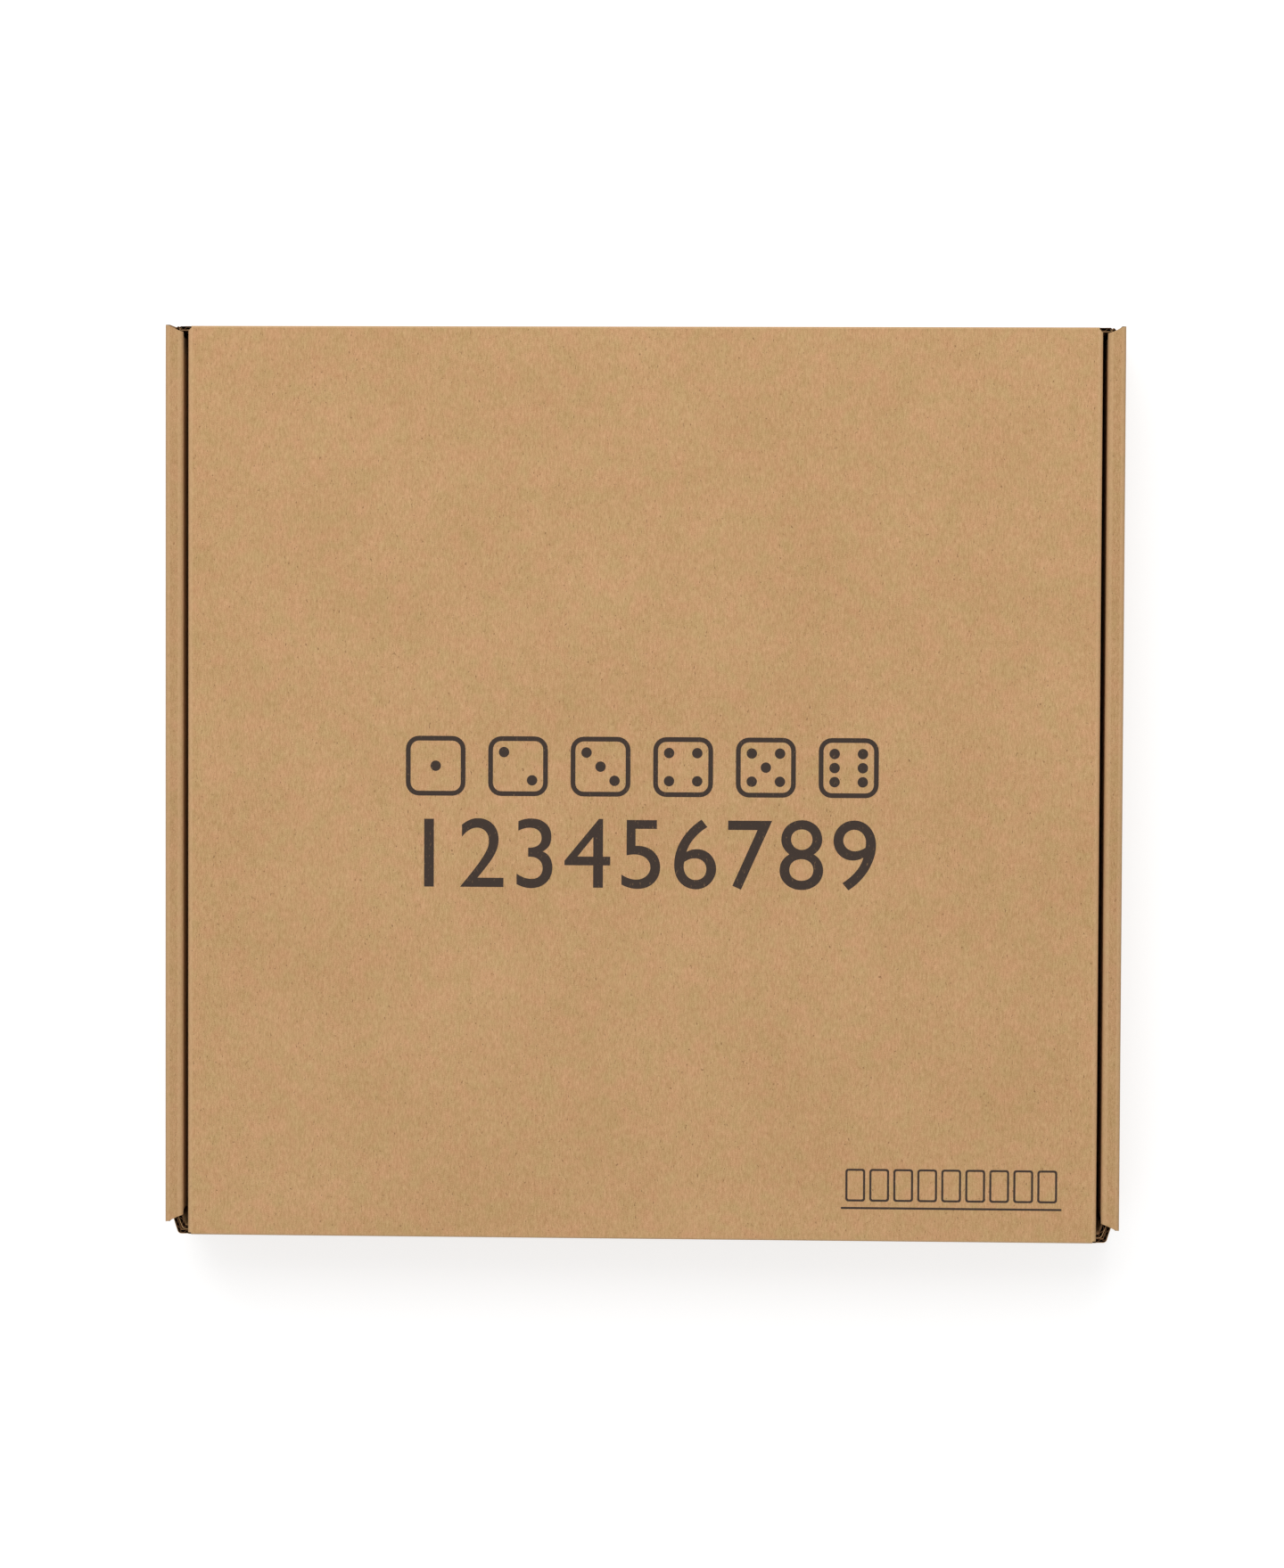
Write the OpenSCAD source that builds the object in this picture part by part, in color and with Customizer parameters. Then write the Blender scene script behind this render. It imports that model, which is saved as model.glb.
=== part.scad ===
// Four player shut the box game in a roll-end mailer carton, closed as for the shelf.
// Origin: middle of the footprint, on the surface that the carton rests on.
// +X to the right of the lid, +Y to the lid's hinge, +Z up. Millimetres.

/* [Board] */
// Thickness of the corrugated board
board_t = 1.4; // [1.2:0.1:1.8]
// Gap between two plies of board that lie face to face
ply_gap = 0.1; // [0.05:0.05:0.2]
// Gap under the rounded edge that the lid and its flap fold on
fold_gap = 0.1; // [0.05:0.05:0.2]

/* [Carton] */
// Free height between a tile's path and the lid
head_room = 5; // [3:0.5:20]
// Play of the ears in the side walls
ear_play = 0.3; // [0.2:0.1:1.5]
// How far the rolled side walls stay below the lid's top
strip_drop = 0.5; // [0.2:0.1:1]
// How far the side walls stand back from the front flap's face
side_front_set = 3.8; // [2:0.1:6]
// How far the side walls stand out behind the back wall
side_back_set = 0.8; // [0.4:0.1:2]
// Depth of the mitre at the ends of the rolled strips
strip_mitre = 3.1; // [1.5:0.1:4]
// Inner radius of the fold along the rolled strips' inner edges
strip_fold = 0.3; // [0.1:0.1:1.5]
// How far the inner side walls' ends stand back from the ends of the strips' inner edges
inner_set = 1.5; // [0:0.1:3]
// How far the front corners are drawn in, so that the ears pass outside the corner flaps
corner_draw = 2.4; // [0.8:0.1:2.6]
// Length of the corner flaps along the side walls
corner_flap_len = 40; // [20:1:60]
// Chamfer at the free end of a corner flap
corner_flap_cut = 8; // [2:1:14]
// Width of a locking tab
tab_w = 36; // [20:1:50]
// Distance of a locking tab's middle from the tray's middle
tab_y = 82; // [40:1:110]
// Height of a tab's tip over the table
tab_lift = 0.2; // [0.1:0.1:0.5]
// Room round a tab in its slot
tab_room = 0.15; // [0.1:0.05:0.4]

/* [Lid] */
// Gap between the lid's edge and the side walls
lid_gap = 1.6; // [0.4:0.1:2.5]
// Rounding along the lid's two folded sides
lid_round = 1.0; // [0.4:0.1:1.2]
// Width of the nick at the lid's back corners
nick_w = 1.2; // [0.5:0.1:2]
// Length of the nick at the lid's back corners
nick_len = 2.5; // [1.5:0.1:5]
// Gap between a dust flap and the tray
dust_gap = 1.0; // [0.5:0.1:3]
// Depth of the dust flaps
dust_depth = 38; // [20:1:40]
// Distance of a dust flap from the lid's folds
dust_inset = 7; // [6:0.5:15]
// Taper at the ends of a dust flap
dust_taper = 12; // [4:1:20]

/* [Front flap] */
// Gap between the front flap and the front wall
flap_gap = 0.2; // [0.1:0.1:0.5]
// Height of the front flap's lower edge over the table
flap_lift = 2.4; // [2:0.1:6]
// Length of the ears
ear_len = 28; // [16:1:32]
// Rounding at an ear's free end
ear_round = 9; // [3:0.5:12]
// Clearance of the ears to the board over and under them
ear_clear = 0.3; // [0.2:0.1:0.6]

/* [Tray] */
// Height of the tray's rails
tray_h = 35; // [34:1:40]
// Thickness of the rails
rail_t = 8; // [6:0.5:12]
// Rounding along the top of the rails
rail_round = 1.5; // [0.5:0.1:2.5]
// Thickness of the floor board
floor_t = 4; // [3:0.5:6]
// Width of the rabbet that holds the floor board
rabbet = 3; // [2:0.5:4]
// Room between the floor board and the rabbet
floor_room = 0.1; // [0.05:0.05:0.3]
// Play of the tray between the front and back walls, on each side
tray_play = 0.3; // [0.1:0.1:2]
// Thickness of the felt
felt_t = 1; // [0.5:0.1:2]
// Gap between the felt and the tiles
felt_gap = 0.6; // [0.3:0.1:3]
// Height of the corner blocks
corner_block_h = 14; // [12:0.5:20]
// Rounding of a corner block's free corner
corner_block_round = 4; // [1:0.5:8]

/* [Tiles] */
// Number of tiles on each side
tiles = 9; // [9:1:9]
// Width of a tile
tile_w = 19.6; // [18:0.1:21]
// Thickness of a tile
tile_t = 7; // [6:0.5:8]
// Distance from a tile's pivot to its free end
tile_reach = 32.5; // [28:0.5:34]
// Rounding along a tile's free end
tile_ease = 1.5; // [0.5:0.1:2.5]
// Gap between neighbouring tiles
tile_gap = 0.6; // [0.3:0.1:1.5]
// Gap between a tile and what it lies on
tile_rest_gap = 0.3; // [0.2:0.1:0.5]
// How far a raised tile leans back from upright
tile_lean = 25; // [20:1:30]
// Gap between the end tiles of a rack and the corner blocks
block_gap = 0.5; // [0.3:0.1:2]
// Gap between a rack's end tile and the free ends of the next rack's tiles
rack_gap = 2; // [1:0.5:10]
// Radius of the pivot rods
rod_r = 1.5; // [1:0.1:2]
// Radial clearance of a tile on its rod
rod_clear = 0.08; // [0.05:0.01:0.1]
// How far a rod's end goes into its corner block
rod_seat = 10; // [6:0.5:14]
// Radial clearance of a rod's end in its block
rod_fit = 0.05; // [0.02:0.01:0.1]

/* [Dice] */
// Side of a die
die_side = 16; // [12:0.5:19]
// Radius of the ball that rounds a die's corners
die_ball = 11; // [10.6:0.1:11.2]
// Radius of the ball that sinks a pip
pip_ball = 1.9; // [1.5:0.1:2.2]
// Depth of a pip
pip_depth = 0.7; // [0.4:0.1:1]
// Distance of a corner pip from the face's middle, along the edge
pip_step = 4; // [3:0.1:4.2]
// Place of the first die on the felt, from the tray's middle
die_1_at = [-60, -34]; // [-75:1:75]
// Place of the second die on the felt, from the tray's middle
die_2_at = [-38, -62]; // [-75:1:75]

/* [Hidden] */
$fn = 64;
KRAFT = [0.76, 0.62, 0.43];
WOOD = [0.80, 0.62, 0.40];
PALE_WOOD = [0.88, 0.74, 0.53];
FELT = [0.10, 0.33, 0.20];
STEEL = [0.72, 0.72, 0.70];
IVORY = [0.94, 0.92, 0.86];
// Room for cuts that have to run past a face
past = 1;

// Heights
floor_top = board_t + floor_t;
felt_top = floor_top + felt_t;
tray_top = board_t + tray_h;
rod_z = floor_top + tile_rest_gap + tile_t / 2;
tile_sweep = norm([tile_reach, tile_t / 2]);
box_h = rod_z + tile_sweep + head_room + board_t;
lid_low = box_h - board_t;
fold_z = box_h - board_t / 2;
fold_top = lid_low - fold_gap;
strip_top = box_h - strip_drop;
strip_low = strip_top - board_t;
strip_round = board_t + strip_fold;
round_z = strip_top - strip_round;
corner_top = round_z - ply_gap;
ear_top = strip_low - ear_clear;

// Tray, measured outwards from its middle
tile_pitch = tile_w + tile_gap;
rack_half = tiles * tile_pitch / 2 - tile_gap / 2;
tile_end = rack_half + rack_gap;
rod_at = tile_end + tile_reach;
rod_to_rail = (tile_t / 2 + tile_rest_gap) / cos(tile_lean) + (tray_top - rod_z) * tan(tile_lean);
inner_half = rod_at + rod_to_rail;
tray_half = inner_half + rail_t;
block_at = rack_half + block_gap;
felt_half = tile_end - felt_gap;

// Carton across, measured from the middle
lid_half = tray_half + dust_gap + board_t;
inner_x = lid_half + lid_gap;
round_x = inner_x + strip_round;
fold_x = inner_x + board_t + ply_gap;
ear_x = fold_x + board_t + ply_gap;
outer_in_x = ear_x + board_t + ear_play;
outer_x = outer_in_x + board_t;

// Carton from front to back
front_pack = board_t + flap_gap + board_t + tray_play;
back_pack = tray_play + board_t + side_back_set;
front_y = -(front_pack + 2 * tray_half + back_pack) / 2;
flap_in_y = front_y + board_t;
front_wall_y = flap_in_y + flap_gap;
front_wall_in = front_wall_y + board_t;
tray_y = front_wall_in + tray_play + tray_half;
back_wall_in = tray_y + tray_half + tray_play;
back_wall_y = back_wall_in + board_t;
side_front_y = front_y + side_front_set;
side_back_y = back_wall_y + side_back_set;
inner_front_y = max(side_front_y + strip_mitre + inner_set, front_wall_in + ply_gap);
inner_back_y = min(side_back_y - strip_mitre - inner_set, back_wall_in - ply_gap);
flap_fold_y = front_y + board_t / 2;
lid_fold_y = back_wall_y - board_t / 2;
ear_swing = fold_z - board_t - ear_clear;

// Racks: name of the side and its turn about the tray's middle
RACKS = [["right", 0], ["back", 90], ["left", 180], ["front", 270]];

function tile_name(rack, n) = str("tile_", rack[0], "_", n);

// ---- Shapes shared by the pieces ----

// A box between two opposite corners
module block(low, high) {
    translate(low) cube(high - low);
}

// A rectangle between two opposite corners
module rect(low, high) {
    translate(low) square(high - low);
}

// A quarter of a disc, on the side of its centre that the signs in dir give
module quarter(centre, r, dir) {
    translate(centre) intersection() {
        circle(r = r);
        translate([min(dir.x, 0) * r, min(dir.y, 0) * r]) square(r);
    }
}

// A profile drawn in (y, z), run along x
module along_x(x0, x1) {
    translate([x0, 0, 0]) rotate([90, 0, 90]) linear_extrude(height = x1 - x0) children();
}

// A profile drawn in (x, z), run along y
module along_y(y0, y1) {
    translate([0, y1, 0]) rotate([90, 0, 0]) linear_extrude(height = y1 - y0) children();
}

// A turn about the tray's middle
module in_tray(turn = 0) {
    translate([0, tray_y, 0]) rotate([0, 0, turn]) children();
}

// Plan of board folded round from a cross wall to lie along a side wall, dir = -1 at the front.
// Its corner is drawn in, and it slants out until it is past y_out.
module folded_ply(x, y_fold, dir, len, draw, y_out) {
    y_end = y_fold - dir * len;
    quarter([x - draw, y_fold], board_t, [1, dir]);
    polygon([[x - draw, y_fold], [x - draw + board_t, y_fold], [x + board_t, y_out], [x, y_out]]);
    rect([x, min(y_out, y_end)], [x + board_t, max(y_out, y_end)]);
}

// ---- Carton ----

// Bottom of the carton, folded up at front and back, slotted for the locking tabs
module base_panel() {
    color(KRAFT) difference() {
        along_x(-outer_in_x, outer_in_x) {
            rect([front_wall_y + board_t, 0], [back_wall_y - board_t, board_t]);
            quarter([front_wall_y + board_t, board_t], board_t, [-1, -1]);
            quarter([back_wall_y - board_t, board_t], board_t, [1, -1]);
        }
        for (side = [-1, 1], end = [-1, 1])
            translate([side * (inner_x + board_t / 2), tray_y + end * tab_y, board_t / 2])
                cube([board_t + 2 * tab_room, tab_w + 2 * tab_room, board_t + past], center = true);
    }
}

// Back wall: its middle stands higher, up to the lid's fold
module back_wall() {
    color(KRAFT) {
        block([-fold_x, back_wall_in, board_t], [fold_x, back_wall_y, corner_top]);
        block([nick_w - lid_half, back_wall_in, corner_top], [lid_half - nick_w, back_wall_y, fold_top]);
    }
}

// Front wall, behind the tuck flap
module front_wall() {
    half = fold_x - corner_draw;
    color(KRAFT) block([-half, front_wall_y, board_t], [half, front_wall_in, lid_low - flap_gap]);
}

// Plan of a rolled side wall with its mitred ends
module side_plan() {
    polygon([[inner_x, side_front_y + strip_mitre], [outer_x, side_front_y],
             [outer_x, side_back_y], [inner_x, side_back_y - strip_mitre]]);
}

// Outer ply of the right side wall and the flat strip that it rolls over into
module outer_side_wall() {
    intersection() {
        along_y(side_front_y, side_back_y) {
            rect([outer_in_x, board_t], [outer_x, strip_low]);
            quarter([outer_in_x, board_t], board_t, [1, -1]);
            quarter([outer_in_x, strip_low], board_t, [1, 1]);
            rect([round_x, strip_low], [outer_in_x, strip_top]);
        }
        linear_extrude(height = box_h) side_plan();
    }
}

module left_outer_wall() {
    color(KRAFT) mirror([1, 0, 0]) outer_side_wall();
}

module right_outer_wall() {
    color(KRAFT) outer_side_wall();
}

// Inner ply of the right side wall, rounded over at the top, with tabs that lock into the base
module inner_side_wall() {
    block([inner_x, inner_front_y, board_t], [inner_x + board_t, inner_back_y, round_z]);
    intersection() {
        along_y(side_front_y, side_back_y) difference() {
            quarter([round_x, round_z], strip_round, [-1, 1]);
            translate([round_x, round_z]) circle(r = strip_fold);
        }
        linear_extrude(height = box_h) side_plan();
    }
    for (end = [-1, 1]) {
        middle = tray_y + end * tab_y;
        block([inner_x, middle - tab_w / 2, tab_lift], [inner_x + board_t, middle + tab_w / 2, board_t]);
    }
}

module left_inner_wall() {
    color(KRAFT) mirror([1, 0, 0]) inner_side_wall();
}

module right_inner_wall() {
    color(KRAFT) inner_side_wall();
}

// Right corner flap of the front (dir = -1) or back (dir = 1) wall
module corner_flap(dir) {
    y_fold = dir < 0 ? front_wall_in : back_wall_in;
    draw = dir < 0 ? corner_draw : 0;
    y_out = (dir < 0 ? inner_front_y : back_wall_in) - ply_gap;
    near = y_fold + dir * board_t;
    far = y_fold - dir * corner_flap_len;
    cut_y = far + dir * corner_flap_cut;
    low = board_t + ply_gap;
    intersection() {
        linear_extrude(height = box_h) folded_ply(fold_x, y_fold, dir, corner_flap_len, draw, y_out);
        along_x(fold_x - draw, fold_x + board_t)
            polygon([[near, low], [cut_y, low], [far, low + corner_flap_cut],
                     [far, corner_top - corner_flap_cut], [cut_y, corner_top], [near, corner_top]]);
    }
}

module corner_flaps() {
    color(KRAFT) for (dir = [-1, 1]) {
        corner_flap(dir);
        mirror([1, 0, 0]) corner_flap(dir);
    }
}

// ---- Lid ----

// Lid: round front and back folds, softened sides and nicked back corners
module lid_panel() {
    color(KRAFT) intersection() {
        along_x(-lid_half, lid_half) {
            rect([flap_fold_y, lid_low], [lid_fold_y, box_h]);
            for (y = [flap_fold_y, lid_fold_y]) translate([y, fold_z]) circle(r = board_t / 2);
        }
        along_y(front_y, back_wall_y) {
            rect([-lid_half, lid_low], [lid_half, box_h - lid_round]);
            rect([lid_round - lid_half, lid_low], [lid_half - lid_round, box_h]);
            for (side = [-1, 1])
                quarter([side * (lid_half - lid_round), box_h - lid_round], lid_round, [side, 1]);
        }
        linear_extrude(height = box_h)
            polygon([[-lid_half, front_y], [lid_half, front_y], [lid_half, back_wall_y - nick_len],
                     [lid_half - nick_w, back_wall_y], [nick_w - lid_half, back_wall_y],
                     [-lid_half, back_wall_y - nick_len]]);
    }
}

// Dust flap folded down from the lid's right side
module dust_flap() {
    near = flap_fold_y + dust_inset;
    far = lid_fold_y - dust_inset;
    along_x(lid_half - board_t, lid_half)
        polygon([[near, lid_low], [near + dust_taper, lid_low - dust_depth],
                 [far - dust_taper, lid_low - dust_depth], [far, lid_low]]);
}

module left_dust_flap() {
    color(KRAFT) mirror([1, 0, 0]) dust_flap();
}

module right_dust_flap() {
    color(KRAFT) dust_flap();
}

// Tuck flap folded down from the lid's front edge
module front_flap() {
    color(KRAFT) {
        block([corner_draw - ear_x, front_y, flap_lift], [ear_x - corner_draw, flap_in_y, ear_top]);
        block([-lid_half, front_y, ear_top], [lid_half, flap_in_y, fold_top]);
    }
}

// Right ear: it slides into the side wall on a circle about the flap's fold
module ear() {
    far = flap_in_y + ear_len;
    intersection() {
        linear_extrude(height = box_h)
            folded_ply(ear_x, flap_in_y, -1, ear_len, corner_draw, inner_front_y - ply_gap);
        along_x(ear_x - corner_draw, ear_x + board_t) intersection() {
            translate([flap_fold_y, fold_z]) circle(r = ear_swing);
            union() {
                rect([front_y, flap_lift], [far, ear_top - ear_round]);
                rect([front_y, flap_lift], [far - ear_round, ear_top]);
                quarter([far - ear_round, ear_top - ear_round], ear_round, [1, 1]);
            }
        }
    }
}

module left_ear() {
    color(KRAFT) mirror([1, 0, 0]) ear();
}

module right_ear() {
    color(KRAFT) ear();
}

// ---- Tray ----

module tray_floor() {
    half = inner_half + rabbet - floor_room;
    color(WOOD) in_tray() block([-half, -half, board_t], [half, half, floor_top]);
}

// Rail of the tray, mitred at both ends and rabbeted for the floor board
module rail(turn) {
    color(WOOD) in_tray(turn) intersection() {
        along_y(-tray_half, tray_half) difference() {
            union() {
                rect([inner_half, board_t], [tray_half, tray_top - rail_round]);
                rect([inner_half + rail_round, board_t], [tray_half - rail_round, tray_top]);
                for (u = [inner_half + rail_round, tray_half - rail_round])
                    translate([u, tray_top - rail_round]) circle(r = rail_round);
            }
            rect([inner_half - past, board_t - past], [inner_half + rabbet, floor_top]);
        }
        linear_extrude(height = tray_top)
            polygon([[0, 0], [tray_half, -tray_half], [tray_half, tray_half]]);
    }
}

module right_rail() {
    rail(0);
}

module back_rail() {
    rail(90);
}

module left_rail() {
    rail(180);
}

module front_rail() {
    rail(270);
}

module felt() {
    color(FELT) in_tray() block([-felt_half, -felt_half, floor_top], [felt_half, felt_half, felt_top]);
}

// A rod's hole in the block at the right back corner, for the rod along y
module rod_hole() {
    translate([rod_at, block_at - past, rod_z]) rotate([-90, 0, 0])
        cylinder(h = rod_seat + past, r = rod_r + rod_fit);
}

// Blocks in the tray's corners that hold the rods' ends
module corner_blocks() {
    free = block_at + corner_block_round;
    color(WOOD) for (rack = RACKS) in_tray(rack[1]) difference() {
        translate([0, 0, floor_top]) linear_extrude(height = corner_block_h) {
            rect([free, block_at], [inner_half, inner_half]);
            rect([block_at, free], [inner_half, inner_half]);
            quarter([free, free], corner_block_round, [-1, -1]);
        }
        rod_hole();
        mirror([1, -1, 0]) rod_hole();
    }
}

module rods() {
    half = block_at + rod_seat - rod_fit;
    color(STEEL) for (rack = RACKS) in_tray(rack[1])
        translate([rod_at, 0, rod_z]) rotate([90, 0, 0])
            cylinder(h = 2 * half, r = rod_r, center = true);
}

// ---- Tiles ----

// Side view of a tile, about its pivot, lying towards the tray's middle
module tile_profile() {
    half = tile_t / 2;
    difference() {
        union() {
            circle(r = half);
            rect([tile_ease - tile_reach, -half], [0, half]);
            rect([-tile_reach, tile_ease - half], [0, half - tile_ease]);
            for (side = [-1, 1])
                translate([tile_ease - tile_reach, side * (half - tile_ease)]) circle(r = tile_ease);
        }
        circle(r = rod_r + rod_clear);
    }
}

// Tile n of a rack, counted from the left of the player who sits on that side
module tile(rack, n) {
    middle = (n - (tiles + 1) / 2) * tile_pitch;
    color(PALE_WOOD) in_tray(rack[1])
        along_y(middle - tile_w / 2, middle + tile_w / 2)
            translate([rod_at, rod_z]) tile_profile();
}

// ---- Dice ----

// Places of the pips for a number, in steps from the face's middle
function pips(number) = concat(
    number % 2 == 1 ? [[0, 0]] : [],
    number > 1 ? [[-1, -1], [1, 1]] : [],
    number > 3 ? [[-1, 1], [1, -1]] : [],
    number == 6 ? [[-1, 0], [1, 0]] : []);

// Turns that bring the top face to each face; opposite faces add up to seven
DIE_FACES = [[1, [0, 0, 0]], [6, [180, 0, 0]], [2, [90, 0, 0]], [5, [-90, 0, 0]],
             [3, [0, 90, 0]], [4, [0, -90, 0]]];

// A die with its pips sunk in, rolled by roll and turned by turn
module die(at, roll, turn) {
    half = die_side / 2;
    color(IVORY) in_tray() translate([at.x, at.y, felt_top + half])
        rotate([0, 0, turn]) rotate(roll) difference() {
            intersection() {
                cube(die_side, center = true);
                sphere(r = die_ball);
            }
            for (face = DIE_FACES, p = pips(face[0]))
                rotate(face[1]) translate([p.x * pip_step, p.y * pip_step, half + pip_ball - pip_depth])
                    sphere(r = pip_ball);
        }
}

module die_1() {
    die(die_1_at, [90, 0, 0], 24);
}

module die_2() {
    die(die_2_at, [0, 90, 0], -17);
}

base_panel();
back_wall();
front_wall();
left_outer_wall();
right_outer_wall();
left_inner_wall();
right_inner_wall();
corner_flaps();
lid_panel();
left_dust_flap();
right_dust_flap();
front_flap();
left_ear();
right_ear();
tray_floor();
front_rail();
back_rail();
left_rail();
right_rail();
felt();
corner_blocks();
rods();
die_1();
die_2();
for (rack = RACKS, n = [1:tiles])
    tile(rack, n);
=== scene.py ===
# Four player shut the box game, packed in a closed roll-end mailer carton of kraft board.
# Metres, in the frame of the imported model: +X right of the lid, +Y to its hinge, +Z up.
import math
import random

import bmesh
import bpy
from mathutils import Matrix, Vector


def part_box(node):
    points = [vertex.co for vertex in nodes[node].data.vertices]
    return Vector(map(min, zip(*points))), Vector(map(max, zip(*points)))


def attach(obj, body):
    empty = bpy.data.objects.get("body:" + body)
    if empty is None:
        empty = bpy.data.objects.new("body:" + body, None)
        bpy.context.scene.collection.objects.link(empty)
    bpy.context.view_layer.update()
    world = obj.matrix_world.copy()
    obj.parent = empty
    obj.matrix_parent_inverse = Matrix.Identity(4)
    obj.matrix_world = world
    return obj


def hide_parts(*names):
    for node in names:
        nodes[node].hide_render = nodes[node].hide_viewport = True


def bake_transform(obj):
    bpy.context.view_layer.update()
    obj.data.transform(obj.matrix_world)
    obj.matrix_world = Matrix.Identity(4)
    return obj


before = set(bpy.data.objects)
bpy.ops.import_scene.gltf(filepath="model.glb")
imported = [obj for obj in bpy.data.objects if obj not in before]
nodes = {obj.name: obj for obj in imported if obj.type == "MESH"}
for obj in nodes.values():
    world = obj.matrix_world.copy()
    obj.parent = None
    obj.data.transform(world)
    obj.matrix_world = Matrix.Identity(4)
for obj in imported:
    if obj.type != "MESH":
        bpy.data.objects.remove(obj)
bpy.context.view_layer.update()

scene = bpy.context.scene
MM = 0.001

# ---------------------------------------------------------------------------------------------
# Camera: a long lens straight over the lid, a little to the right and behind the middle.
# The place and the tilt are fitted to the lid's four corners in the photograph.
# ---------------------------------------------------------------------------------------------
CAMERA_AT = Vector((72.1, 65.3, 1652.6)) * MM
CAMERA_TILT_DEGREES = (-2.325, 2.580, 0.241)
PHOTO_HEIGHT = 1759
FOCAL_PIXELS = 5400
SENSOR_WIDTH = 36

camera_data = bpy.data.cameras.new("camera")
camera_data.sensor_width = SENSOR_WIDTH
camera_data.lens = FOCAL_PIXELS * SENSOR_WIDTH / PHOTO_HEIGHT
camera_data.clip_start = 0.01
camera = bpy.data.objects.new("camera", camera_data)
camera.location = CAMERA_AT
camera.rotation_euler = [math.radians(angle) for angle in CAMERA_TILT_DEGREES]
scene.collection.objects.link(camera)
scene.camera = camera
scene.view_settings.view_transform = "Standard"

# ---------------------------------------------------------------------------------------------
# Table and light: a white sweep under a large soft box and a pale room.
# What the camera sees of the table is lifted to white, more so far out, where less light falls,
# and the carton's shadow stays on it.
# ---------------------------------------------------------------------------------------------
TABLE_HALF = 4.0
TABLE_GREY = 0.5
LIFT_NEAR, LIFT_FAR = 0.66, 0.86
LIFT_STARTS, LIFT_ENDS = 0.4, 2.2
SKY_LIGHT = 0.58
SOFT_BOX_SIDE = 1.6
SOFT_BOX_AT = Vector((-0.2, 1.25, 1.9))
SOFT_BOX_POWER = 28


def new_material(name):
    """An empty node material: (material, its nodes, a function that joins two sockets)."""
    material = bpy.data.materials.new(name)
    material.use_nodes = True
    tree = material.node_tree
    tree.nodes.clear()
    return material, tree.nodes, tree.links.new


def table_paper():
    """White paper that keeps a shadow and reads as white to the camera, to metal and to glass."""
    material, make, join = new_material("table_paper")
    diffuse = make.new("ShaderNodeBsdfDiffuse")
    diffuse.inputs["Color"].default_value = (TABLE_GREY, TABLE_GREY, TABLE_GREY, 1)
    rays = make.new("ShaderNodeLightPath").outputs
    seen = rays["Is Camera Ray"]
    for kind in ("Is Glossy Ray", "Is Transmission Ray"):
        either = make.new("ShaderNodeMath")
        either.operation = "MAXIMUM"
        join(seen, either.inputs[0])
        join(rays[kind], either.inputs[1])
        seen = either.outputs[0]
    away = make.new("ShaderNodeVectorMath")
    away.operation = "LENGTH"
    join(make.new("ShaderNodeNewGeometry").outputs["Position"], away.inputs[0])
    level = make.new("ShaderNodeMapRange")
    for socket, value in (("From Min", LIFT_STARTS), ("From Max", LIFT_ENDS),
                          ("To Min", LIFT_NEAR), ("To Max", LIFT_FAR)):
        level.inputs[socket].default_value = value
    join(away.outputs["Value"], level.inputs["Value"])
    lift = make.new("ShaderNodeMath")
    lift.operation = "MULTIPLY"
    join(seen, lift.inputs[0])
    join(level.outputs["Result"], lift.inputs[1])
    glow = make.new("ShaderNodeEmission")
    join(lift.outputs[0], glow.inputs["Strength"])
    total = make.new("ShaderNodeAddShader")
    join(diffuse.outputs[0], total.inputs[0])
    join(glow.outputs[0], total.inputs[1])
    join(total.outputs[0], make.new("ShaderNodeOutputMaterial").inputs["Surface"])
    return material


table_mesh = bpy.data.meshes.new("table")
table_corners = [(x * TABLE_HALF, y * TABLE_HALF, 0) for x, y in ((-1, -1), (1, -1), (1, 1), (-1, 1))]
table_mesh.from_pydata(table_corners, [], [(0, 1, 2, 3)])
table_mesh.materials.append(table_paper())
table = bpy.data.objects.new("table", table_mesh)
scene.collection.objects.link(table)

world = bpy.data.worlds.new("room")
world.use_nodes = True
scene.world = world
room, room_join = world.node_tree.nodes, world.node_tree.links.new
room.clear()
room_level = room.new("ShaderNodeMapRange")
room_level.inputs["To Min"].default_value = SKY_LIGHT
room_level.inputs["To Max"].default_value = 1.0
room_light = room.new("ShaderNodeBackground")
room_light.inputs["Color"].default_value = (1, 1, 1, 1)
room_join(room.new("ShaderNodeLightPath").outputs["Is Camera Ray"], room_level.inputs["Value"])
room_join(room_level.outputs["Result"], room_light.inputs["Strength"])
room_join(room_light.outputs[0], room.new("ShaderNodeOutputWorld").inputs["Surface"])

soft_box_data = bpy.data.lights.new("soft_box", "AREA")
soft_box_data.size = SOFT_BOX_SIDE
soft_box_data.energy = SOFT_BOX_POWER
soft_box = bpy.data.objects.new("soft_box", soft_box_data)
soft_box.location = SOFT_BOX_AT
soft_box.rotation_euler = SOFT_BOX_AT.to_track_quat("Z", "Y").to_euler()
scene.collection.objects.link(soft_box)

# ---------------------------------------------------------------------------------------------
# Base and side walls: E flute board, two kraft liners glued to a wavy medium.
# Each side rises from the base, rolls over in a flat strip and comes back down inside, where
# two tabs lock it into the base. The flutes run from front to back.
# ---------------------------------------------------------------------------------------------
PAPER = 0.15 * MM
FLUTE_PITCH = 3.3 * MM
WASHBOARD = 0.03 * MM
STEPS_PER_FLUTE = 8
FOLD_STEPS = 6
SHARP_DEGREES = 35
STRIP_MITRE = 3.1 * MM
INNER_SET = 1.5 * MM
PLY_GAP = 0.1 * MM
TAB_WIDTH = 36 * MM
TAB_FROM_MIDDLE = 82 * MM
TAB_ROOM = 0.15 * MM

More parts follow.
